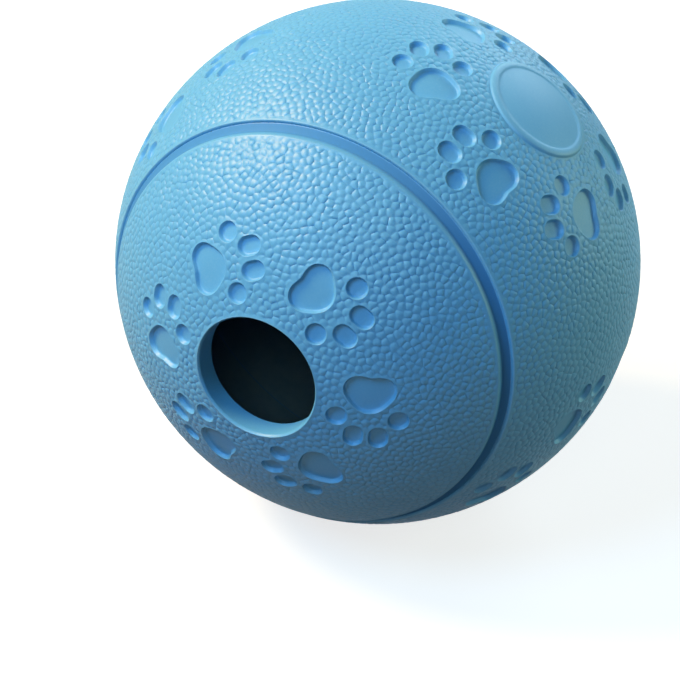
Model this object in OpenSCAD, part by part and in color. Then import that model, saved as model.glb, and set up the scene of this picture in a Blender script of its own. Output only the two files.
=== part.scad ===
// Treat dispensing ball: a hollow ball of moulded rubber with one round treat hole.
// Origin at the ball's centre, treat hole towards -Y, +Z up, millimetres.

/* [Ball] */
// Outside diameter over the tops of the pebbled skin
ball_d = 110; // [96:1:132]
// Wall thickness of both half shells
wall = 4.8; // [3.6:0.1:6.5]

/* [Treat hole] */
// Bore of the treat hole
hole_d = 25; // [18:0.5:30]
// Width of the small bevel round the mouth of the hole
hole_bevel = 0.4; // [0.2:0.1:0.8]

/* [Grooves] */
// Width of the groove where it opens in the skin
groove_w = 3.2; // [2.2:0.1:4.2]
// Width of the flat floor of the groove
groove_floor_w = 2; // [1.2:0.1:3]
// Depth of the groove below the skin
groove_depth = 0.9; // [0.5:0.1:1.4]
// Angle from the hole's axis to the middle of the groove, degrees
groove_angle = 52.2; // [50:0.1:56]

/* [Paw prints] */
// Depth of the paw prints below the skin
print_depth = 0.9; // [0.5:0.1:1.4]
// Length of the main pad, from its heel to the toe side
pad_l = 8.2; // [6.5:0.1:9]
// Width of the main pad
pad_w = 10.4; // [8.5:0.1:11]
// Diameter of the round front of the main pad
pad_front_d = 7.4; // [6:0.1:8]
// Diameter of each heel lobe of the main pad
pad_lobe_d = 5.8; // [4.5:0.1:6.4]
// Diameter of the two outer toes
outer_toe_d = 4.2; // [3.2:0.1:4.8]
// Width of the two oval middle toes
middle_toe_w = 3.9; // [3:0.1:4.4]
// Length of the two oval middle toes
middle_toe_l = 5; // [4:0.1:5.6]
// How far the outer toes lie ahead of the pad's centre
outer_toe_ahead = 5.3; // [4.6:0.1:6]
// How far the outer toes lie to each side
outer_toe_aside = 5.9; // [5.2:0.1:6.4]
// How far the middle toes lie ahead of the pad's centre
middle_toe_ahead = 9.6; // [8.6:0.1:10.2]
// How far the middle toes lie to each side
middle_toe_aside = 2.4; // [2.2:0.1:2.8]

/* [Print rings] */
// Paw prints of a side ring that lie on one half of the ball, half of a whole ring
half_ring_count = 3; // [2:1:3]
// Angle from a ring's centre to its main pads, degrees
ring_angle = 24.2; // [22:0.1:26]
// Turn of the toes towards the ring's centre, degrees
toe_lean = 5; // [0:1:12]
// Direction of the side with the medallion, degrees from +X towards +Z
medallion_side = 50; // [0:1:89]
// Turn of the side rings, which keeps every print clear of the equator, degrees
side_ring_turn = 10; // [8:1:12]

/* [Medallion] */
// Diameter of the plain round medallion
medallion_d = 23; // [18:0.5:27]
// How far the medallion stands out of the skin
medallion_rise = 0.4; // [0.2:0.1:0.8]

/* [Equator joint] */
// How far the front half's spigot reaches into the rear half
spigot_l = 2.5; // [1.5:0.1:4]
// Thickness of the cement film between the halves
bond_t = 0.2; // [0.1:0.05:0.4]

/* [Hidden] */

$fn = 96;
ball_r = ball_d / 2;
cavity_r = ball_r - wall;
hole_r = hole_d / 2;
// Cuts and zones run this far past what they cut
overrun = 2;
reach = ball_r + medallion_rise + overrun;
// Radius at which the stepped joint turns, half way through the wall
step_r = ball_r - wall / 2;
half_bond = bond_t / 2;
// Height of the treat hole's mouth above the ball's centre
mouth_h = sqrt(pow(ball_r, 2) - pow(hole_r + hole_bevel, 2));
ring_count = 2 * half_ring_count;
ring_step = 360 / ring_count;
// Rings lie round the hole, round four sides and round the back
side_count = 4;
side_step = 360 / side_count;
// Turn of the first print of a side ring on the hole's half
side_first_turn = 180 + side_ring_turn - ring_step * (half_ring_count - 1) / 2;
// Skin colours
ball_blue = [0.36, 0.66, 0.87];
cement_blue = [0.30, 0.58, 0.80];

// Turns a shape whose hole faces +Z so that the hole faces -Y
module hole_to_front() {
    rotate([90, 0, 0]) children();
}

// Outline of the main pad: a round front blended into two heel lobes
module pad_outline() {
    front_u = (pad_l - pad_front_d) / 2;
    lobe_u = (pad_lobe_d - pad_l) / 2;
    lobe_v = (pad_w - pad_lobe_d) / 2;
    for (side = [-1, 1])
        for (blend_share = [0, 0.5, 1])
            translate([
                front_u + (lobe_u - front_u) * blend_share,
                side * lobe_v * blend_share
            ])
                circle(d = pad_front_d + (pad_lobe_d - pad_front_d) * blend_share);
}

// Outline of a middle toe: an oval of three overlapping circles
module middle_toe_outline() {
    slide = (middle_toe_l - middle_toe_w) / 2;
    for (step = [-1, 0, 1])
        translate([step * slide, 0])
            circle(d = middle_toe_w);
}

// One paw print in the plane, its toes towards +X
module paw_outline() {
    pad_outline();
    for (side = [-1, 1]) {
        translate([outer_toe_ahead, side * outer_toe_aside])
            circle(d = outer_toe_d);
        translate([middle_toe_ahead, side * middle_toe_aside])
            middle_toe_outline();
    }
}

// Some prints of a ring round +Z, the toes pointing clockwise seen from outside
module print_arc(first_turn, count) {
    for (k = [0 : count - 1])
        rotate([0, ring_angle, first_turn + k * ring_step])
            rotate([0, 0, -90 - toe_lean])
                translate([0, 0, cavity_r])
                    linear_extrude(reach - cavity_r)
                        paw_outline();
}

// All that the prints take out of the hole's half, down to their rounded floors
module print_cut() {
    difference() {
        union() {
            print_arc(0, ring_count);
            for (k = [0 : side_count - 1])
                rotate([0, 90, medallion_side + k * side_step])
                    print_arc(side_first_turn, half_ring_count);
        }
        sphere(r = ball_r - print_depth);
    }
}

// Half a turn about the medallion's axis, which takes one half of the ball to the other
module to_other_half() {
    rotate([0, 0, medallion_side])
        rotate([180, 0, 0])
            rotate([0, 0, -medallion_side])
                children();
}

// The groove's section, its middle on the skin and its sloped side towards the pole
module groove_section() {
    slope_run = groove_w - groove_floor_w;
    // The sloped side is carried on past the skin at the same slant
    lift_share = overrun / groove_depth;
    rotate([0, 0, 90 - groove_angle])
        translate([ball_r, 0])
            polygon([
                [-groove_depth, -groove_w / 2],
                [overrun, -groove_w / 2],
                [overrun, groove_w / 2 + slope_run * lift_share],
                [-groove_depth, groove_w / 2 - slope_run]
            ]);
}

module groove_cut() {
    rotate_extrude()
        groove_section();
}

// The round raised medallion, before the wall's inside is cut away
module medallion_boss() {
    rotate([0, 90, medallion_side])
        intersection() {
            cylinder(h = reach, d = medallion_d);
            sphere(r = ball_r + medallion_rise);
        }
}

module hole_cut() {
    cylinder(h = reach, r = hole_r);
    translate([0, 0, mouth_h - hole_bevel])
        cylinder(h = hole_bevel + overrun, r1 = hole_r, r2 = hole_r + hole_bevel + overrun);
}

// The hollow wall of the ball with the medallion, before anything is cut into it
module blank_wall() {
    difference() {
        union() {
            sphere(r = ball_r);
            medallion_boss();
        }
        sphere(r = cavity_r);
    }
}

// The space on the hole's side of the stepped joint
module front_zone() {
    rotate_extrude()
        polygon([
            [0, half_bond - spigot_l],
            [step_r - half_bond, half_bond - spigot_l],
            [step_r - half_bond, half_bond],
            [reach, half_bond],
            [reach, reach],
            [0, reach]
        ]);
}

// The space behind the stepped joint
module rear_zone() {
    rotate_extrude()
        polygon([
            [0, -reach],
            [reach, -reach],
            [reach, -half_bond],
            [step_r + half_bond, -half_bond],
            [step_r + half_bond, -half_bond - spigot_l],
            [0, -half_bond - spigot_l]
        ]);
}

// The thin stepped space between the two
module bond_zone() {
    rotate_extrude()
        polygon([
            [0, -half_bond - spigot_l],
            [step_r + half_bond, -half_bond - spigot_l],
            [step_r + half_bond, -half_bond],
            [reach, -half_bond],
            [reach, half_bond],
            [step_r - half_bond, half_bond],
            [step_r - half_bond, half_bond - spigot_l],
            [0, half_bond - spigot_l]
        ]);
}

// Front half of the ball, with the treat hole and the spigot
module front_shell() {
    color(ball_blue)
        hole_to_front()
            difference() {
                intersection() {
                    blank_wall();
                    front_zone();
                }
                hole_cut();
                groove_cut();
                print_cut();
            }
}

// Rear half of the ball, with the rebate that takes the spigot
module rear_shell() {
    color(ball_blue)
        hole_to_front()
            difference() {
                intersection() {
                    blank_wall();
                    rear_zone();
                }
                to_other_half() {
                    groove_cut();
                    print_cut();
                }
            }
}

// Cured cement that joins the halves
module bond_seam() {
    color(cement_blue)
        hole_to_front()
            intersection() {
                blank_wall();
                bond_zone();
            }
}

front_shell();
rear_shell();
bond_seam();
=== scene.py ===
"""Looks of a treat dispensing ball: two pebbled half shells of blue rubber with a treat hole, grooves, sunk
paw prints and a bare round medallion, and the cement film between them.
Metres in the row frame: origin at the ball's centre, treat hole towards -Y, +Z up. Sizes below are in
millimetres and angles in degrees unless a comment says otherwise. The ball is worked out with its hole
towards +Z, and turned to the row frame as its meshes are made."""

import math

import bpy
import numpy as np
from mathutils import Matrix, Vector
from mathutils.geometry import delaunay_2d_cdt


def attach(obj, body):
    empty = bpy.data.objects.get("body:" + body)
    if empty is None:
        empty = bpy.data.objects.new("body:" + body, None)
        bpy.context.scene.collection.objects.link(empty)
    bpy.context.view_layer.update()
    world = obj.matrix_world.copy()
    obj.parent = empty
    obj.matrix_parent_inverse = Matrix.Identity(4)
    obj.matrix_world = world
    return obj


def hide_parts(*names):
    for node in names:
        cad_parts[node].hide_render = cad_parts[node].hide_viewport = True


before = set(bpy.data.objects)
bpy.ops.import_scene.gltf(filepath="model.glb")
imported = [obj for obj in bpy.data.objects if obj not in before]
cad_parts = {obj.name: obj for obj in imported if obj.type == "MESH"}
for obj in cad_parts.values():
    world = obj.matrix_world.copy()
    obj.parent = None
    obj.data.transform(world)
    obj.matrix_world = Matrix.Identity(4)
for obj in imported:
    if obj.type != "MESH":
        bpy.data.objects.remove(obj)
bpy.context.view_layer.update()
bpy.ops.object.select_all(action="DESELECT")

MM = 0.001

# Sizes of the solids
BALL_R = 55.0
CAVITY_R = 50.2
HOLE_R = 12.5
HOLE_BEVEL = 0.4
MOUTH_R = HOLE_R + HOLE_BEVEL
MOUTH_H = math.sqrt(BALL_R**2 - MOUTH_R**2)
STEP_R = 52.6
HALF_BOND = 0.1
SPIGOT_L = 2.5
GROOVE_ANGLE = 52.2
GROOVE_HALF_W = 1.6
PRINT_DEPTH = 0.9
RING_ANGLE = 24.2
RING_PRINTS = 6
RING_STEP = 60
TOE_LEAN = 5
SIDES = 4
SIDE_STEP = 90
SIDE_FIRST_TURN = 130
MEDALLION_SIDE = 50
MEDALLION_R = 11.5
MEDALLION_RISE = 0.4

# The joint's slit ends under the skin: where its sides stop, its lip, and the lip of the film in it
SLIT_R = BALL_R - 0.6
SLIT_LIP_R = BALL_R - 0.55
FILM_LIP_R = BALL_R - 0.56
# On the equator, only the slit's lip lies outside this radius
LIP_OUTSIDE_R = BALL_R - 0.58

# Stations round the hole's axis that the spun walls and the round edges of the skin share
STATIONS = 360
MEDALLION_STATIONS = 150
# Least step along the section of the cavity
CAVITY_STEP = 4
# What lies within this radius is off the mould's core
CORE_SIDE_R = CAVITY_R + 0.02
# In metres: how near to the equator's plane a point lies on it, and how near two points are one
ON_EQUATOR = 1e-7
SAME_POINT = 2e-6
SAME_SEAM_POINT = 5e-6
# Angles from which an edge is crisp on the rubber and on the cement
CRISP_FROM = 52
FILM_CRISP_FROM = 35

# Pebbles of the skin, and the creases at their corners and half way along their sides
PEBBLE_W = 1.6
CREASE_DEPTH = 0.165
CREASE_MIDDLE_DEPTH = 0.125
# How much deeper or shallower a single crease may be
CREASE_SPREAD = (0.85, 1.15)
CREASE_MIDDLE_SPREAD = (0.8, 1.2)
# Creases longer than this have a point half way, and stumps shorter than this are left out
LONG_CREASE = 0.4
SHORT_CREASE = 0.14
# Depth of a crease where it ends at a smooth border, as a share, and how closely that end is found
CREASE_END_SHARE = 0.55
CREASE_HALVINGS = 10
# How far the rounded tops stay clear of the creases, at their corners and half way along
CORNER_INSET = 0.26
MIDDLE_INSET = 0.15
MOST_INSET_SHARE = 0.45
# Heights of the tops against the ball's sphere, the fall to their shoulders, and their lean as a slope
CROWN_HEIGHTS = (-0.03, -0.01)
SHOULDER_DROP = 0.03
TOP_LEAN = 0.03
HIGHEST_TOP = -0.004
# Smooth border round every outline, how far out of it the pebbles begin, and what a whole top needs more
FIELD_EDGE = 0.16
FIELD = FIELD_EDGE + 0.1
CROWN_CLEAR = 0.05
# Further smooth border of the groove, the mouth and the medallion
GROOVE_BORDER = 0.25
MOUTH_BORDER = 0.15
MEDALLION_BORDER = 0.1
# Share of a hexagonal cell in the square of its width
HEXAGON_SHARE = 0.866
# How far the pebbles are shaken out of their even spiral, in pebbles, and how often they settle
SHAKE = 0.38
SETTLINGS = 8
# How far each half runs on past the equator before it is cut there, as shares of the radius
SITES_OVERLAP = 0.3
CELLS_OVERLAP = 0.35
RINGS_OVERLAP = 0.1
SKIN_OVERLAP = 0.09

# Sections of the round-edged steps, from the pebbles inwards: distance outside the outline, height, edge wear
# and painted highlight
PRINT_EDGE = [
    (FIELD_EDGE, -0.05, 0.0),
    (0.03, -0.03, 0.2),
    (-0.07, -0.12, 0.1),
    (-0.27, -0.68, 0.0),
    (-0.42, -0.85, 0.0),
    (-0.65, -PRINT_DEPTH, 0.0),
]
# Inside this distance from its outline a print's floor is plain
PRINT_FACE = -0.95
# The medallion's raised rim and the small step down to its bare face
MEDALLION_EDGE = [
    (FIELD_EDGE + 0.1, -0.05, 0.0),
    (0.12, -0.08, 0.0),
    (0.02, 0.0, 0.0),
    (-0.1, 0.24, 0.3),
    (-0.3, 0.36, 0.5),
    (-0.7, MEDALLION_RISE, 0.2),
    (-1.4, MEDALLION_RISE, 0.2),
    (-1.6, MEDALLION_RISE - 0.1, 0.0),
    (-1.85, MEDALLION_RISE - 0.17, 0.0),
    (-2.2, MEDALLION_RISE - 0.18, 0.0),
]
# Inside this distance from its outline the medallion's face is plain
MEDALLION_FACE = -2.6
# The round edge of the hole's mouth, its rim made lighter by wear and a painted highlight
MOUTH_EDGE = [(0.3, -0.04, 0.0), (0.12, -0.01, 0.4), (0.0, 0.0, 1.0)]
# Section across the groove, away from its pole: distance from the middle, height, edge wear and painted
# highlight. After the slanted inner side the floor rises a little towards the outer wall, whose wear also
# paints light onto its shaded face.
GROOVE_EDGE = [
    (-GROOVE_HALF_W - 0.4, -0.04, 0.0),
    (-GROOVE_HALF_W - 0.12, -0.02, 0.2),
    (-GROOVE_HALF_W + 0.05, -0.08, 0.3),
    (-1.05, -0.44, 0.0),
    (-0.62, -0.76, 0.0),
    (-0.4, -0.88, 0.0),
    (-0.1, -0.88, 0.0),
    (0.7, -0.75, 0.0),
    (GROOVE_HALF_W - 0.4, -0.65, 0.0),
    (GROOVE_HALF_W - 0.24, -0.62, 0.4),
    (GROOVE_HALF_W - 0.04, -0.12, 0.6),
    (GROOVE_HALF_W + 0.08, -0.02, 0.6),
    (GROOVE_HALF_W + 0.3, -0.04, 0.0),
]
# The line of that section at the foot of the outer wall, where each half's crown and belt meet
GROOVE_FOOT = 9
# The lines of its floor: polished, and a deeper blue, partly the rubber's own tone where no chalk settles and
# partly painted shade
GROOVE_DEEP = range(4, 9)
# How much of that deeper blue, its painted shade included, the floors of the prints show, and the height under
# which they do
PRINT_DEEP = 0.08
PRINT_DEEP_BELOW = -0.6
# Section of the bore from the cavity outwards, with the bevel of its mouth rounded off: radius, height
BORE = [
    (HOLE_R, MOUTH_H - HOLE_BEVEL - 0.25),
    (HOLE_R + 0.06, MOUTH_H - HOLE_BEVEL),
    (MOUTH_R - 0.1, MOUTH_H - 0.09),
    (MOUTH_R, MOUTH_H),
]


# Directions on the ball


def unit(v):
    return v / np.linalg.norm(v, axis=-1, keepdims=True)


def turn(axis, degrees):
    return np.array(Matrix.Rotation(math.radians(degrees), 3, axis))


def meridian(angle, stations):
    """Directions all round at one angle from the hole's axis."""
    a = math.radians(angle)
    t = np.radians(stations)
    return np.stack([math.sin(a) * np.cos(t), math.sin(a) * np.sin(t), np.full(len(t), math.cos(a))], 1)


def to_row(points):
    """Turns points so that the hole faces -Y, in metres."""
    return np.stack([points[:, 0], -points[:, 2], points[:, 1]], 1) * MM


def other_half():
    """Half a turn about the medallion's axis."""
    return turn("Z", MEDALLION_SIDE) @ turn("X", 180) @ turn("Z", -MEDALLION_SIDE)


def medallion_seat(side=0):
    """The turn that brings the pole to the medallion, or to another of the four sides."""
    return turn("Z", MEDALLION_SIDE + SIDE_STEP * side) @ turn("Y", 90)


def print_frames():
    """Frames of all paw prints: X towards the toes, Z outwards."""

    def print_at(station):
        return turn("Z", station) @ turn("Y", RING_ANGLE) @ turn("Z", -90 - TOE_LEAN)

    half = [print_at(RING_STEP * k) for k in range(RING_PRINTS)]
    for side in range(SIDES):
        seat = medallion_seat(side)
        half += [seat @ print_at(SIDE_FIRST_TURN + RING_STEP * k) for k in range(RING_PRINTS // 2)]
    return half + [other_half() @ f for f in half]


# Outlines of a paw print, in its own plane

# The main pad's round front and the lobe on one side: ahead, aside, radius
PAD_ROUNDS = [(0.4, 0.0, 3.7), (-0.4, 1.15, 3.3), (-1.2, 2.3, 2.9)]
# The round that fills the notch between the lobes: ahead, radius
PAD_HEEL = (-0.9, 2.75)
# How softly these run into each other, and what that adds to their size
PAD_SOFT = 0.3
PAD_SOFT_GAIN = 0.12
MIDDLE_TOE_R = 1.95
MIDDLE_TOE_SLIDE = 0.55
OUTER_TOE_R = 2.1
# More than any outline reaches from its own middle, and than a print reaches from its axis, in degrees
SHAPE_REACH = 9.0
PRINT_REACH = 17
# How closely an outline is found, and in how many steps its length is measured
HALVINGS = 40
OUTLINE_STEPS = 720


def pad_gap(x, y):
    """Distance outside the main pad: a round front blended into two heel lobes."""
    y = np.abs(y)
    heel_at, heel_r = PAD_HEEL
    rounds = [np.hypot(x - u, y - v) - r for u, v, r in PAD_ROUNDS]
    parts = np.stack(rounds + [np.hypot(x - heel_at, y) - heel_r])
    nearest = parts.min(0)
    return -PAD_SOFT * np.log(np.exp(-(parts - nearest) / PAD_SOFT).sum(0)) + nearest + PAD_SOFT_GAIN


def middle_toe_gap(x, y):
    return np.hypot(np.maximum(np.abs(x) - MIDDLE_TOE_SLIDE, 0), y) - MIDDLE_TOE_R


def outer_toe_gap(x, y):
    return np.hypot(x, y) - OUTER_TOE_R


# Shapes of a print: distance outside it, ahead, aside, points along its outline
PAW_SHAPES = [
    (pad_gap, 0.0, 0.0, 66),
    (outer_toe_gap, 5.3, 5.9, 34),
    (outer_toe_gap, 5.3, -5.9, 34),
    (middle_toe_gap, 9.6, 2.4, 36),
    (middle_toe_gap, 9.6, -2.4, 36),
]


def reach_of(gap, angles, out):
    """How far a shape reaches in each direction from its own centre, a distance outside its outline."""
    near = np.zeros(len(angles))
    far = np.full(len(angles), SHAPE_REACH)
    for _ in range(HALVINGS):
        mid = (near + far) / 2
        inside = gap(mid * np.cos(angles), mid * np.sin(angles)) < out
        near = np.where(inside, mid, near)
        far = np.where(inside, far, mid)
    return near


def even_angles(gap, count):
    """Angles that space points evenly along a shape's outline."""
    fine = np.linspace(0, 2 * np.pi, OUTLINE_STEPS + 1)
    r = reach_of(gap, fine, 0.0)
    line = np.stack([r * np.cos(fine), r * np.sin(fine)], 1)
    run = np.concatenate([[0], np.cumsum(np.hypot(*np.diff(line, axis=0).T))])
    return np.interp(np.arange(count) * run[-1] / count, run, fine)


FRAMES = print_frames()
MEDALLION_AXIS = meridian(90, np.array([float(MEDALLION_SIDE)]))[0]


def gap_to_outlines(d):
    """Distance of directions outside the nearest outline on the skin, less than zero inside it, and the height
    of the plain face inside that outline, which groove and mouth don't have."""
    gap = np.full(len(d), 99.0)
    floor = np.zeros(len(d))

    def closer(where, value, height):
        better = value < gap[where]
        spot = where[better]
        gap[spot] = value[better]
        floor[spot] = height

    for f in FRAMES:
        near = np.nonzero(d @ f[:, 2] > math.cos(math.radians(PRINT_REACH)))[0]
        local = d[near] @ f * BALL_R
        for shape, u, v, _ in PAW_SHAPES:
            closer(near, shape(local[:, 0] - u, local[:, 1] - v), -PRINT_DEPTH)
    everywhere = np.arange(len(d))
    from_pole = np.degrees(np.arccos(np.clip(np.abs(d[:, 2]), 0, 1)))
    across = np.abs(np.radians(from_pole - GROOVE_ANGLE) * BALL_R)
    closer(everywhere, across - GROOVE_HALF_W - GROOVE_BORDER, np.nan)
    front = np.nonzero(d[:, 2] > 0)[0]
    closer(front, np.hypot(d[front, 0], d[front, 1]) * BALL_R - MOUTH_R - MOUTH_BORDER, np.nan)
    facing = np.nonzero(d @ MEDALLION_AXIS > 0.5)[0]
    aside = np.sqrt(np.maximum(1 - (d[facing] @ MEDALLION_AXIS) ** 2, 0)) * BALL_R
    closer(facing, aside - MEDALLION_R - MEDALLION_BORDER, MEDALLION_EDGE[-1][1])
    return gap, floor


# Pebbles


def chart(d, side):
    """Flat map of a half of the ball, true to shape, from the far pole."""
    return d[:, :2] * (2 * BALL_R / (1 + side * d[:, 2]))[:, None]


def meshed(flat, edges=()):
    """Triangles between points of the flat map, along the given edges."""
    points = [Vector(p) for p in flat]
    result = delaunay_2d_cdt(points, [(int(a), int(b)) for a, b in edges], [], 0, 1e-6, True)
    return np.array([tuple(v) for v in result[0]]), np.array([tuple(t) for t in result[2]]), result[3]


def cell_corners(d, triangles):
    """Where three pebbles meet: the direction as far from each of the three."""
    a, b, c = (d[triangles[:, k]] for k in range(3))
    n = unit(np.cross(b - a, c - a))
    return n * np.sign((n * a).sum(1))[:, None]


def pebble_sites(rng):
    """Middles of the pebbles all over the ball: an even spiral, shaken, then drawn to the middles of their
    cells."""
    count = int(4 * math.pi * BALL_R**2 / (HEXAGON_SHARE * PEBBLE_W**2))
    k = np.arange(count) + 0.5
    z = 1 - 2 * k / count
    t = k * math.pi * (3 - math.sqrt(5))
    sites = np.stack([np.sqrt(1 - z**2) * np.cos(t), np.sqrt(1 - z**2) * np.sin(t), z], 1)
    sites = unit(sites + rng.normal(size=(count, 3)) * SHAKE * PEBBLE_W / BALL_R)
    for _ in range(SETTLINGS):
        moved = sites.copy()
        for side in (1, -1):
            near = np.nonzero(side * sites[:, 2] > -SITES_OVERLAP)[0]
            points = sites[near]
            _, triangles, _ = meshed(chart(points, side))
            corners = cell_corners(points, triangles)
            total = np.zeros((len(near), 3))
            for k in range(3):
                own, ahead, behind = (points[triangles[:, (k + j) % 3]] for j in range(3))
                for middle, turned in (((own + ahead) / 2, side), ((own + behind) / 2, -side)):
                    area = turned * (np.cross(middle - own, corners - own) * own).sum(1)
                    np.add.at(total, triangles[:, k], (own + middle + corners) * area[:, None])
            mine = side * points[:, 2] >= 0
            moved[near[mine]] = unit(total[mine])
        sites = moved
    return sites


class Sheet:
    """Points and edges gathered for one half's skin: directions, heights, how smooth the rubber is there, its
    wear and painted highlight, and its deeper tone and painted shade."""

    def __init__(self):
        self.d, self.h, self.finish, self.edges, self.count = [], [], [], [], 0

    def add(self, d, h, smooth=0.0, wear=0.0, deep=0.0):
        n = len(d)
        self.d.append(d)
        self.h.append(np.broadcast_to(np.asarray(h, float), (n,)))
        columns = [np.broadcast_to(value, (n,)) for value in (smooth, wear, deep)]
        self.finish.append(np.stack(columns, 1).astype(float))
        start = self.count
        self.count += n
        return np.arange(start, start + n)

    def join(self, a, b):
        self.edges.append(np.stack([a, b], 1))

    def ring(self, d, h, wear, side, deep=0.0):
        """A closed line of points, cut off a little past the equator."""
        here = side * d[:, 2] > -RINGS_OVERLAP
        if not here.any():
            return
        index = np.full(len(d), -1)
        index[here] = self.add(d[here], np.broadcast_to(h, (len(d),))[here], 1.0, wear, deep)
        after = np.roll(index, -1)
        whole = (index >= 0) & (after >= 0)
        self.join(index[whole], after[whole])


def add_outlines(sheet, side):
    """The round-edged steps of prints, grooves, mouth and medallion."""
    stations = np.arange(STATIONS) * 360 / STATIONS
    for f in FRAMES:
        for shape, u, v, count in PAW_SHAPES:
            angles = even_angles(shape, count)
            for out, height, wear in PRINT_EDGE:
                r = reach_of(shape, angles, out)
                x = u + r * np.cos(angles)
                y = v + r * np.sin(angles)
                z = np.sqrt((BALL_R + height) ** 2 - x**2 - y**2)
                d = unit(np.stack([x, y, z], 1)) @ f.T
                sheet.ring(d, height, wear, side, PRINT_DEEP * (height < PRINT_DEEP_BELOW))
    for k, (out, height, wear) in enumerate(GROOVE_EDGE):
        d = meridian(GROOVE_ANGLE + math.degrees(out / BALL_R), stations)
        d[:, 2] *= side
        sheet.ring(d, height, wear, side, float(k in GROOVE_DEEP))
    if side > 0:
        for out, height, wear in MOUTH_EDGE:
            angle = math.degrees(math.asin((MOUTH_R + out) / BALL_R))
            sheet.ring(meridian(angle, stations), height, wear, side)
    stations = np.arange(MEDALLION_STATIONS) * (360 / MEDALLION_STATIONS)
    for out, height, wear in MEDALLION_EDGE:
        angle = math.degrees(math.asin((MEDALLION_R + out) / (BALL_R + height)))
        sheet.ring(meridian(angle, stations) @ medallion_seat().T, height, wear, side)


def add_creases(sheet, corners, cells, side, rng):
    """The creases between the pebbles. Gives the points half way along the long ones, and the two pebbles
    beside each."""
    open_corner = (gap_to_outlines(corners)[0] > FIELD) & (side * corners[:, 2] > -SKIN_OVERLAP)
    index = np.full(len(corners), -1)
    depth = -CREASE_DEPTH * rng.uniform(*CREASE_SPREAD, len(corners))
    index[open_corner] = sheet.add(corners[open_corner], depth[open_corner])

    # Two cells that share a pair of pebbles are the two ends of one crease
    pairs = np.sort(np.concatenate([cells[:, [0, 1]], cells[:, [1, 2]], cells[:, [2, 0]]]), 1)
    owner = np.tile(np.arange(len(cells)), 3)
    order = np.lexsort((pairs[:, 1], pairs[:, 0]))
    pairs, owner = pairs[order], owner[order]
    shared = (pairs[1:] == pairs[:-1]).all(1)
    crease = np.stack([owner[:-1][shared], owner[1:][shared]], 1)
    beside = pairs[:-1][shared]
    inside = open_corner[crease]
    whole = inside.all(1)

    # A long crease is shallower half way, and the pebbles on both sides come nearer to it there
    middle = unit(corners[crease].mean(1))
    length = np.linalg.norm(corners[crease[:, 0]] - corners[crease[:, 1]], axis=1) * BALL_R
    bowed = whole & (length > LONG_CREASE)
    bowed[bowed] = gap_to_outlines(middle[bowed])[0] > FIELD
    straight = whole & ~bowed
    sheet.join(index[crease[straight, 0]], index[crease[straight, 1]])
    depth = -CREASE_MIDDLE_DEPTH * rng.uniform(*CREASE_MIDDLE_SPREAD, bowed.sum())
    middle_index = sheet.add(middle[bowed], depth)
    sheet.join(index[crease[bowed, 0]], middle_index)
    sheet.join(middle_index, index[crease[bowed, 1]])

    # A crease that runs into a smooth border ends a little before it
    cut = crease[inside.any(1) & ~whole]
    flip = ~open_corner[cut[:, 0]]
    cut[flip] = cut[flip][:, ::-1]
    a, b = corners[cut[:, 0]], corners[cut[:, 1]]
    low, high = np.zeros(len(cut)), np.ones(len(cut))
    for _ in range(CREASE_HALVINGS):
        mid = (low + high) / 2
        clear = gap_to_outlines(unit(a + (b - a) * mid[:, None]))[0] > FIELD
        low = np.where(clear, mid, low)
        high = np.where(clear, high, mid)
    run = low * np.linalg.norm(b - a, axis=1) * BALL_R
    keep = (run > SHORT_CREASE) & (side * b[:, 2] > -SKIN_OVERLAP)
    ends = unit(a + (b - a) * low[:, None])[keep]
    sheet.join(index[cut[keep, 0]], sheet.add(ends, -CREASE_DEPTH * CREASE_END_SHARE))
    return middle[bowed], beside[bowed]


def add_pebbles(sheet, sites, corners, cells, middle, beside, side, rng):
    """The pebbles' tops with their shoulders beside the creases, and the plain faces inside the outlines."""
    gap, floor = gap_to_outlines(sites)
    here = side * sites[:, 2] > -SKIN_OVERLAP
    crown = rng.uniform(*CROWN_HEIGHTS, len(sites))
    # Each pebble's top leans a little its own way
    lean = rng.normal(size=(len(sites), 3)) * TOP_LEAN
    rims = [(corners, cells[:, k], CORNER_INSET) for k in range(3)]
    rims += [(middle, beside[:, k], MIDDLE_INSET) for k in range(2)]
    for start, pebble, inset in rims:
        way = sites[pebble] - start
        share = np.minimum(inset / (np.linalg.norm(way, axis=1) * BALL_R), MOST_INSET_SHARE)
        shoulder = unit(start + way * share[:, None])
        leaned = ((shoulder - sites[pebble]) * lean[pebble]).sum(1) * BALL_R
        height = np.minimum(crown[pebble] - SHOULDER_DROP + leaned, HIGHEST_TOP)
        ok = (gap_to_outlines(shoulder)[0] > FIELD) & (side * shoulder[:, 2] > -SKIN_OVERLAP)
        sheet.add(shoulder[ok], height[ok])
    ok = here & (gap > FIELD + CROWN_CLEAR)
    sheet.add(sites[ok], crown[ok])
    plain = np.where(floor > 0, MEDALLION_FACE, PRINT_FACE)
    ok = here & (gap < plain) & np.isfinite(floor)
    sheet.add(sites[ok], floor[ok], 1.0, 0.0, PRINT_DEEP * (floor[ok] < 0))


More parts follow.
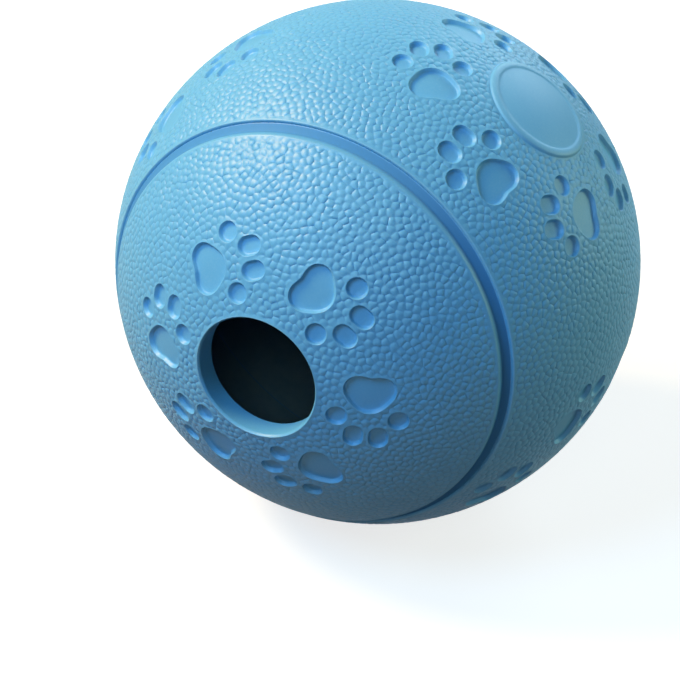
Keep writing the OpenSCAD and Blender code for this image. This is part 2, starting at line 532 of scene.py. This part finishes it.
def half_skin(side, sites, rng):
    """One half's outer skin, pebbles between the outlines and smooth faces inside them: directions, heights,
    finish with painted highlight and shade, and triangles."""
    near = sites[side * sites[:, 2] > -CELLS_OVERLAP]
    _, cells, _ = meshed(chart(near, side))
    corners = cell_corners(near, cells)
    sheet = Sheet()
    add_outlines(sheet, side)
    middle, beside = add_creases(sheet, corners, cells, side, rng)
    add_pebbles(sheet, near, corners, cells, middle, beside, side, rng)

    d = np.concatenate(sheet.d)
    h = np.concatenate(sheet.h)
    finish = np.concatenate(sheet.finish)
    flat, triangles, origin = meshed(chart(d, side), np.concatenate(sheet.edges))
    pick = np.array([o[0] if len(o) else -1 for o in origin])
    # A point that the mesher adds where two edges cross is taken to be the nearest known one
    known = np.nonzero(pick >= 0)[0]
    for i in np.nonzero(pick < 0)[0]:
        pick[i] = pick[known[np.argmin(((flat[known] - flat[i]) ** 2).sum(1))]]
    if side < 0:
        triangles = triangles[:, ::-1]
    return d[pick], h[pick], finish[pick], triangles


def skin_piece(name, skin, chosen):
    """An object of the chosen triangles, with its finish and its painted highlight and shade kept on its
    points.
    """
    d, h, finish, triangles = skin
    triangles = triangles[chosen]
    used, inverse = np.unique(triangles, return_inverse=True)
    points = to_row(d[used] * (BALL_R + h[used])[:, None])
    mesh = bpy.data.meshes.new(name)
    mesh.from_pydata(points.tolist(), [], inverse.reshape(-1, 3).tolist())
    for label, values in zip(("smooth", "wear", "deep"), finish[used].T):
        mesh.attributes.new(label, "FLOAT", "POINT").data.foreach_set("value", values.astype(np.float32))
    # The grooves' floors have the second finish
    on_groove_floor = (finish[triangles, 2] > 0.5).all(1)
    mesh.polygons.foreach_set("material_index", on_groove_floor.astype(np.int32))
    piece = bpy.data.objects.new(name, mesh)
    bpy.context.collection.objects.link(piece)
    return piece


# Walls, spun as by hand round the hole's axis


def only(piece):
    bpy.ops.object.select_all(action="DESELECT")
    piece.select_set(True)
    bpy.context.view_layer.objects.active = piece


def cavity_arc(start, end):
    """Points of the cavity's section between two angles from the hole's axis."""
    count = max(2, int(abs(end - start) / CAVITY_STEP) + 1)
    angles = np.radians(np.linspace(start, end, count))
    return [(CAVITY_R * math.sin(a), CAVITY_R * math.cos(a)) for a in angles]


def spun(name, section, closed=False):
    """A wall: one point is pulled along the section, and the line is spun round the hole's axis."""
    bpy.ops.mesh.primitive_plane_add(size=MM)
    piece = bpy.context.active_object
    piece.name = name
    bpy.ops.object.mode_set(mode="EDIT")
    bpy.ops.mesh.select_mode(type="VERT")
    bpy.ops.mesh.select_all(action="SELECT")
    bpy.ops.mesh.merge(type="CENTER")
    points = [Vector((x, -z, 0)) * MM for x, z in section]
    bpy.ops.transform.translate(value=points[0])
    for before, after in zip(points, points[1:] + points[:1] * closed):
        bpy.ops.mesh.extrude_region_move(TRANSFORM_OT_translate={"value": after - before})
    bpy.ops.mesh.select_all(action="SELECT")
    bpy.ops.mesh.remove_doubles(threshold=SAME_POINT)
    bpy.ops.mesh.spin(steps=STATIONS, angle=2 * math.pi, center=(0, 0, 0), axis=(0, 1, 0))
    bpy.ops.mesh.select_all(action="SELECT")
    bpy.ops.mesh.remove_doubles(threshold=SAME_POINT)
    bpy.ops.object.mode_set(mode="OBJECT")
    for label, value in (("smooth", 1.0), ("wear", 0.0), ("deep", 0.0)):
        data = piece.data.attributes.new(label, "FLOAT", "POINT").data
        data.foreach_set("value", np.full(len(data), value, np.float32))
    return piece


def cut_at_equator(piece, front):
    """Everything past the equator is cut off, which leaves the pebbles' section there."""
    only(piece)
    bpy.ops.object.mode_set(mode="EDIT")
    bpy.ops.mesh.select_all(action="SELECT")
    bpy.ops.mesh.bisect(
        plane_co=(0, 0, 0), plane_no=(0, 1, 0), clear_outer=front, clear_inner=not front, threshold=ON_EQUATOR
    )
    bpy.ops.object.mode_set(mode="OBJECT")


def select_open_edges():
    bpy.ops.mesh.select_mode(type="EDGE")
    bpy.ops.mesh.select_all(action="DESELECT")
    bpy.ops.mesh.select_non_manifold(
        extend=False, use_wire=False, use_multi_face=False, use_non_contiguous=False, use_verts=False
    )


def equator_line(piece, least_radius=0.0):
    """A piece's points on the equator in their order round the hole's axis, with their angles."""
    line = np.array([v.co for v in piece.data.vertices])
    radius = np.hypot(line[:, 0], line[:, 2])
    line = line[(np.abs(line[:, 1]) <= ON_EQUATOR) & (radius > least_radius)]
    angles = np.arctan2(line[:, 2], line[:, 0])
    order = np.argsort(angles)
    return line[order], angles[order]


def edge_strip(skin, wall):
    """The narrow strip between the pebbles' section at the equator and the outer edge of the joint."""
    outer, outer_angles = equator_line(skin)
    inner, inner_angles = equator_line(wall, LIP_OUTSIDE_R * MM)
    n, m = len(outer), len(inner)
    i = j = 0
    faces = []
    while i < n or j < m:
        next_outer = outer_angles[(i + 1) % n] + 2 * math.pi * ((i + 1) // n)
        next_inner = inner_angles[(j + 1) % m] + 2 * math.pi * ((j + 1) // m)
        if j >= m or (i < n and next_outer < next_inner):
            faces.append((i % n, n + j % m, (i + 1) % n))
            i += 1
        else:
            faces.append((i % n, n + j % m, n + (j + 1) % m))
            j += 1
    mesh = bpy.data.meshes.new(skin.name + "_strip")
    mesh.from_pydata(np.concatenate([outer, inner]).tolist(), [], faces)
    strip = bpy.data.objects.new(mesh.name, mesh)
    bpy.context.collection.objects.link(strip)
    return strip


def closed_up(skin, *others):
    """Joins a skin to its wall, and gives crisp creases and smooth domes."""
    bpy.ops.object.select_all(action="DESELECT")
    for part in (skin, *others):
        part.select_set(True)
    bpy.context.view_layer.objects.active = skin
    bpy.ops.object.join()
    bpy.ops.object.mode_set(mode="EDIT")
    select_open_edges()
    bpy.ops.mesh.remove_doubles(threshold=SAME_SEAM_POINT)
    bpy.ops.mesh.select_all(action="SELECT")
    bpy.ops.mesh.normals_make_consistent(inside=False)
    bpy.ops.object.mode_set(mode="OBJECT")
    bpy.ops.object.shade_smooth_by_angle(angle=math.radians(CRISP_FROM))
    # Large faces lead the shading, so the pebbles' tops look flat and their shoulders narrow
    bpy.ops.object.modifier_add(type="WEIGHTED_NORMAL")
    weighted = skin.modifiers[-1]
    weighted.mode = "FACE_AREA"
    weighted.weight = 50
    weighted.keep_sharp = True
    bpy.ops.object.modifier_apply(modifier=weighted.name)
    return skin


def wall_sections(side, foot_angle):
    """Sections of a crown's and a belt's wall on one half, both from the foot of the groove's outer wall: one
    by way of the cavity to the mouth or the rear pole, the other to the joint at the equator."""
    a = math.radians(foot_angle)
    foot_r = BALL_R + GROOVE_EDGE[GROOVE_FOOT][1]
    foot = (foot_r * math.sin(a), foot_r * math.cos(a))
    if side > 0:
        crown = cavity_arc(foot_angle, math.degrees(math.asin(HOLE_R / CAVITY_R))) + BORE
        inner_end, step = HALF_BOND - SPIGOT_L, STEP_R - HALF_BOND
    else:
        crown = cavity_arc(foot_angle, 0)
        inner_end, step = HALF_BOND + SPIGOT_L, STEP_R + HALF_BOND
    belt = cavity_arc(foot_angle, math.degrees(math.acos(inner_end / CAVITY_R)))
    joint = [(step, inner_end), (step, HALF_BOND), (SLIT_R, HALF_BOND), (SLIT_LIP_R, 0)]
    return [foot] + crown, [foot] + belt + joint


def build_shells(skin_finish, groove_floor_finish, core_finish):
    """Both half shells, each as a crown inside its groove and a belt outside it, with the node they replace."""
    rng = np.random.default_rng(20)
    sites = pebble_sites(rng)
    foot_angle = GROOVE_ANGLE + math.degrees(GROOVE_EDGE[GROOVE_FOOT][0] / BALL_R)
    mouth_angle = math.degrees(math.asin(MOUTH_R / BALL_R))
    pieces = []
    for side, node in ((1, "front_shell"), (-1, "rear_shell")):
        skin = half_skin(side, sites, rng)
        middles = unit(skin[0][skin[3]].mean(1))
        from_pole = np.degrees(np.arccos(np.clip(side * middles[:, 2], -1, 1)))
        cap = from_pole < foot_angle
        if side > 0:
            cap &= from_pole > mouth_angle
        crown = skin_piece(node + "_crown", skin, cap)
        belt = skin_piece(node + "_belt", skin, from_pole > foot_angle)
        cut_at_equator(belt, side > 0)
        for piece, section in zip((crown, belt), wall_sections(side, foot_angle)):
            wall = spun(piece.name + "_wall", [(x, side * z) for x, z in section])
            piece.data.materials.append(skin_finish)
            piece.data.materials.append(groove_floor_finish)
            wall.data.materials.append(skin_finish)
            wall.data.materials.append(core_finish)
            for face in wall.data.polygons:
                face.material_index = int(face.center.length < CORE_SIDE_R * MM)
            others = [wall, edge_strip(piece, wall)] if piece is belt else [wall]
            pieces.append((closed_up(piece, *others), node))
    return pieces


def build_cement_film():
    """The stepped film, its outer edge just under the skin that was moulded over it."""
    low, high = -HALF_BOND - SPIGOT_L, HALF_BOND - SPIGOT_L
    section = [
        (math.sqrt(CAVITY_R**2 - low**2), low),
        (STEP_R + HALF_BOND, low),
        (STEP_R + HALF_BOND, -HALF_BOND),
        (SLIT_R, -HALF_BOND),
        (FILM_LIP_R, 0),
        (SLIT_R, HALF_BOND),
        (STEP_R - HALF_BOND, HALF_BOND),
        (STEP_R - HALF_BOND, high),
        (math.sqrt(CAVITY_R**2 - high**2), high),
    ]
    film = spun("cement_film", section, closed=True)
    only(film)
    bpy.ops.object.mode_set(mode="EDIT")
    bpy.ops.mesh.select_all(action="SELECT")
    bpy.ops.mesh.normals_make_consistent(inside=False)
    bpy.ops.object.mode_set(mode="OBJECT")
    bpy.ops.object.shade_smooth_by_angle(angle=math.radians(FILM_CRISP_FROM))
    return film


# Materials


def hex_colour(code):
    """An sRGB hex colour as the linear colour that a shader takes."""
    parts = [int(code[k : k + 2], 16) / 255 for k in (1, 3, 5)]
    return tuple(c / 12.92 if c <= 0.04045 else ((c + 0.055) / 1.055) ** 2.4 for c in parts) + (1.0,)


def add_node(tree, kind, settings=(), **links):
    """Adds a node. Settings are its own values, links its sockets: numbers, colours or (node, output)."""
    node = tree.nodes.new(kind)
    for key, value in dict(settings).items():
        setattr(node, key, value)
    for key, value in links.items():
        by_number = key[0] == "i" and key[1:].isdigit()
        socket = node.inputs[int(key[1:]) if by_number else key.replace("_", " ")]
        if isinstance(value, tuple) and isinstance(value[0], bpy.types.Node):
            tree.links.new(value[0].outputs[value[1]], socket)
        else:
            socket.default_value = value
    return node


def new_finish(name):
    """A material with its nodes, its shader, and the node that gives the place on the piece."""
    material = bpy.data.materials.new(name)
    material.use_nodes = True
    tree = material.node_tree
    return material, tree, tree.nodes["Principled BSDF"], add_node(tree, "ShaderNodeTexCoord")


def set_sockets(shader, values):
    for label, value in values.items():
        shader.inputs[label].default_value = value


def rubber_skin(name, wax):
    """Moulded natural rubber with chalk filler, satin from a blasted mould: an even sky blue with chalk specks,
    darkened in the creases between the pebbles by painted shade, lighter on worn edges by wear and painted
    highlight, and a deeper blue on the floors of the grooves and prints, partly the rubber's own tone and
    partly painted shade. On the polished floors of the grooves the waxy film is thinner."""
    material, tree, shader, place = new_finish(name)
    radius = add_node(tree, "ShaderNodeVectorMath", {"operation": "LENGTH"}, i0=(place, "Object"))
    # 0 in the creases, 1 on the tops of the pebbles
    height = add_node(
        tree,
        "ShaderNodeMapRange",
        Value=(radius, "Value"),
        From_Min=(BALL_R - 0.17) * MM,
        From_Max=(BALL_R - 0.01) * MM,
        To_Min=0.0,
        To_Max=1.0,
    )
    smooth = add_node(tree, "ShaderNodeAttribute", {"attribute_name": "smooth"})
    wear = add_node(tree, "ShaderNodeAttribute", {"attribute_name": "wear"})
    deep = add_node(tree, "ShaderNodeAttribute", {"attribute_name": "deep"})
    # Filler clouds about 9 mm across
    clouds = add_node(
        tree, "ShaderNodeTexNoise", Vector=(place, "Object"), Scale=110.0, Detail=3.0, Roughness=0.55
    )
    # Chalk specks about 0.4 mm across
    specks = add_node(
        tree, "ShaderNodeTexNoise", Vector=(place, "Object"), Scale=2500.0, Detail=2.0, Roughness=0.6
    )
    body = add_node(
        tree,
        "ShaderNodeMix",
        {"data_type": "RGBA"},
        i0=(clouds, "Fac"),
        i6=hex_colour("#5aaae0"),
        i7=hex_colour("#66b5e6"),
    )
    # Painted shade: the creases between the pebbles are darkened towards a deeper blue, except on the smooth
    # parts
    crease_shade_share = add_node(
        tree, "ShaderNodeMapRange", Value=(height, "Result"), From_Min=0.0, From_Max=0.6, To_Min=0.5, To_Max=0.0
    )
    shade_among_pebbles = add_node(
        tree,
        "ShaderNodeMath",
        {"operation": "SUBTRACT", "use_clamp": True},
        i0=(crease_shade_share, "Result"),
        i1=(smooth, "Fac"),
    )
    crease_shaded = add_node(
        tree,
        "ShaderNodeMix",
        {"data_type": "RGBA"},
        i0=(shade_among_pebbles, "Value"),
        i6=(body, 2),
        i7=hex_colour("#3f83bd"),
    )
    # Chalk specks, and the edges' wear, which also paints highlights on the rims and light onto the groove's
    # shaded outer wall
    chalk = add_node(
        tree, "ShaderNodeMapRange", Value=(specks, "Fac"), From_Min=0.45, From_Max=0.75, To_Min=0.0, To_Max=0.1
    )
    worn_and_highlit = add_node(
        tree, "ShaderNodeMath", {"operation": "MULTIPLY_ADD"}, i0=(wear, "Fac"), i1=0.3, i2=(chalk, "Result")
    )
    chalky_and_highlit = add_node(
        tree,
        "ShaderNodeMix",
        {"data_type": "RGBA"},
        i0=(worn_and_highlit, "Value"),
        i6=(crease_shaded, 2),
        i7=hex_colour("#a4d6f0"),
    )
    # The deeper blue of the floors of grooves and prints: partly the rubber's own tone without bloom, partly
    # painted shade
    toned_and_shaded = add_node(
        tree, "ShaderNodeMix", {"data_type": "RGBA"}, i0=(deep, "Fac"), i6=(chalky_and_highlit, 2), i7=hex_colour("#5094d0")
    )
    tree.links.new(toned_and_shaded.outputs[2], shader.inputs["Base Color"])
    # The smooth parts scatter gloss more widely than the pebbles' tops
    gloss = add_node(
        tree, "ShaderNodeMapRange", Value=(smooth, "Fac"), From_Min=0.0, From_Max=1.0, To_Min=0.45, To_Max=0.7
    )
    tree.links.new(gloss.outputs["Result"], shader.inputs["Roughness"])
    # Grain of the blasted mould, about 0.15 mm
    grain = add_node(
        tree, "ShaderNodeTexNoise", Vector=(place, "Object"), Scale=6500.0, Detail=2.0, Roughness=0.5
    )
    bump = add_node(tree, "ShaderNodeBump", Strength=0.12, Distance=0.00006, Height=(grain, "Fac"))
    tree.links.new(bump.outputs["Normal"], shader.inputs["Normal"])
    # The satin gloss is that of a broken waxy film, which covers only a part of the rubber, and chalk bloom
    # throws a little light back warmly where the skin turns away
    gloss_values = {
        "IOR": 1.52,
        "Specular IOR Level": 0.01,
        "Coat Weight": wax,
        "Coat IOR": 2.5,
        "Coat Roughness": 0.4,
        "Sheen Weight": 0.05,
        "Sheen Roughness": 0.5,
        "Sheen Tint": hex_colour("#fff0c0"),
    }
    set_sockets(shader, gloss_values)
    return material


def core_side():
    """The same rubber off the unpolished core of the mould, greyed by the talc that keeps the cavity from
    sticking."""
    material, tree, shader, place = new_finish("natural_rubber_core_side_talc_dusted")
    # Talc lies in drifts about 6 mm across
    drifts = add_node(
        tree, "ShaderNodeTexNoise", Vector=(place, "Object"), Scale=160.0, Detail=5.0, Roughness=0.65
    )
    colour = add_node(
        tree,
        "ShaderNodeMix",
        {"data_type": "RGBA"},
        i0=(drifts, "Fac"),
        i6=hex_colour("#4f86a8"),
        i7=hex_colour("#86a3b4"),
    )
    tree.links.new(colour.outputs[2], shader.inputs["Base Color"])
    bump = add_node(tree, "ShaderNodeBump", Strength=0.25, Distance=0.0001, Height=(drifts, "Fac"))
    tree.links.new(bump.outputs["Normal"], shader.inputs["Normal"])
    set_sockets(shader, {"Roughness": 0.75, "IOR": 1.52})
    return material


def cement_finish():
    """Rubber cement, brushed on and cured: a thin glossy film, darker than the rubber, with brush streaks."""
    material, tree, shader, place = new_finish("rubber_cement_cured")
    # Brush streaks about 1 mm apart
    streaks = add_node(
        tree, "ShaderNodeTexNoise", Vector=(place, "Object"), Scale=900.0, Detail=3.0, Roughness=0.6
    )
    colour = add_node(
        tree,
        "ShaderNodeMix",
        {"data_type": "RGBA"},
        i0=(streaks, "Fac"),
        i6=hex_colour("#3f7fb4"),
        i7=hex_colour("#5a9bcb"),
    )
    tree.links.new(colour.outputs[2], shader.inputs["Base Color"])
    bump = add_node(tree, "ShaderNodeBump", Strength=0.3, Distance=0.00005, Height=(streaks, "Fac"))
    tree.links.new(bump.outputs["Normal"], shader.inputs["Normal"])
    set_sockets(shader, {"Roughness": 0.3, "IOR": 1.52})
    return material


def seen_share(tree):
    """1 for what the camera sees, straight or in gloss or glass, and 0 for light on its way to a surface."""
    rays = add_node(tree, "ShaderNodeLightPath")
    seen = (rays, "Is Camera Ray")
    for kind in ("Is Glossy Ray", "Is Transmission Ray"):
        either = add_node(tree, "ShaderNodeMath", {"operation": "MAXIMUM"}, i0=seen, i1=(rays, kind))
        seen = (either, "Value")
    return seen


def floor_finish():
    """Plain pale studio floor: near white to the camera and in gloss, dark grey to the light that it throws
    back."""
    material, tree, shader, place = new_finish("studio_floor")
    tree.nodes.remove(shader)
    seen = seen_share(tree)
    paint = add_node(
        tree,
        "ShaderNodeMix",
        {"data_type": "RGBA"},
        i0=seen,
        i6=(0.08, 0.08, 0.08, 1),
        i7=(0.42, 0.42, 0.42, 1),
    )
    diffuse = add_node(tree, "ShaderNodeBsdfDiffuse", Color=(paint, 2))
    # The floor is whiter away from the ball, so that it ends in the white of the background
    away = add_node(tree, "ShaderNodeVectorMath", {"operation": "LENGTH"}, i0=(place, "Object"))
    level = add_node(
        tree, "ShaderNodeMapRange", Value=(away, "Value"), From_Min=0.12, From_Max=0.6, To_Min=0.76, To_Max=1.0
    )
    glow = add_node(tree, "ShaderNodeMath", {"operation": "MULTIPLY"}, i0=seen, i1=(level, "Result"))
    light = add_node(tree, "ShaderNodeEmission", Strength=(glow, "Value"))
    both = add_node(tree, "ShaderNodeAddShader", i0=(diffuse, "BSDF"), i1=(light, "Emission"))
    tree.links.new(both.outputs["Shader"], tree.nodes["Material Output"].inputs["Surface"])
    return material


# Studio, in metres

CAMERA_TURN = 25.8
CAMERA_LIFT = 27.4
CAMERA_FAR = 0.44
LAMP_FAR = 0.9
# Lamps: where they stand as seen from the camera (right, up, back), width, power in watts, colour
LAMPS = [
    ("key_softbox", (-0.65, 0.7, 0.28), 0.34, 9.9, "#ffd896"),
    ("fill_softbox", (-0.52, 0.44, 0.7), 0.4, 4.6, "#a0d6ff"),
    ("right_softbox", (0.95, 0.3, -0.1), 0.5, 2.9, "#e0ffd4"),
    ("back_softbox", (0.45, 0.75, -0.45), 0.5, 3.4, "#e0f0ff"),
    ("front_fill", (-0.04, 0.13, 1.0), 0.25, 0.8, "#d4e8e0"),
]


def from_camera(right, up, back):
    """A direction given in the camera's frame, in the row frame."""
    a, e = math.radians(CAMERA_TURN), math.radians(CAMERA_LIFT)
    out = Vector((math.sin(a) * math.cos(e), -math.cos(a) * math.cos(e), math.sin(e)))
    side = Vector((math.cos(a), math.sin(a), 0))
    top = out.cross(side)
    return (side * right + top * up + out * back).normalized()


def place_floor():
    bpy.ops.mesh.primitive_plane_add(size=12, location=(0, 0, -BALL_R * MM))
    floor = bpy.context.active_object
    floor.name = "studio_floor"
    floor.data.materials.append(floor_finish())


def place_camera():
    data = bpy.data.cameras.new("camera")
    camera = bpy.data.objects.new("camera", data)
    bpy.context.collection.objects.link(camera)
    back = from_camera(0, 0, 1)
    camera.location = back * CAMERA_FAR
    camera.rotation_euler = back.to_track_quat("Z", "Y").to_euler()
    data.lens = 110.5
    data.sensor_width = 36
    data.shift_x = -0.0557
    data.shift_y = -0.1156
    data.clip_start = 0.01
    bpy.context.scene.camera = camera


def light_studio():
    for name, place, size, power, colour in LAMPS:
        data = bpy.data.lights.new(name, "AREA")
        data.shape = "DISK"
        data.size = size
        data.energy = power
        data.color = hex_colour(colour)[:3]
        lamp = bpy.data.objects.new(name, data)
        bpy.context.collection.objects.link(lamp)
        towards = from_camera(*place)
        lamp.location = towards * LAMP_FAR
        lamp.rotation_euler = towards.to_track_quat("Z", "Y").to_euler()
    world = bpy.data.worlds.new("studio")
    bpy.context.scene.world = world
    world.use_nodes = True
    tree = world.node_tree
    # White to the camera, and a weak cool light on the ball
    colour = add_node(
        tree,
        "ShaderNodeMix",
        {"data_type": "RGBA"},
        i0=seen_share(tree),
        i6=(0.02, 0.03, 0.04, 1),
        i7=(1, 1, 1, 1),
    )
    tree.links.new(colour.outputs[2], tree.nodes["Background"].inputs["Color"])


place_camera()
light_studio()
place_floor()
skin = rubber_skin("natural_rubber_moulded_blue", 0.2)
polished = rubber_skin("natural_rubber_moulded_blue_polished", 0.02)
for piece, node in build_shells(skin, polished, core_side()):
    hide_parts(node)
    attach(piece, "root")
film = build_cement_film()
film.data.materials.append(cement_finish())
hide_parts("bond_seam")
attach(film, "root")

bpy.context.scene.view_settings.view_transform = "Standard"
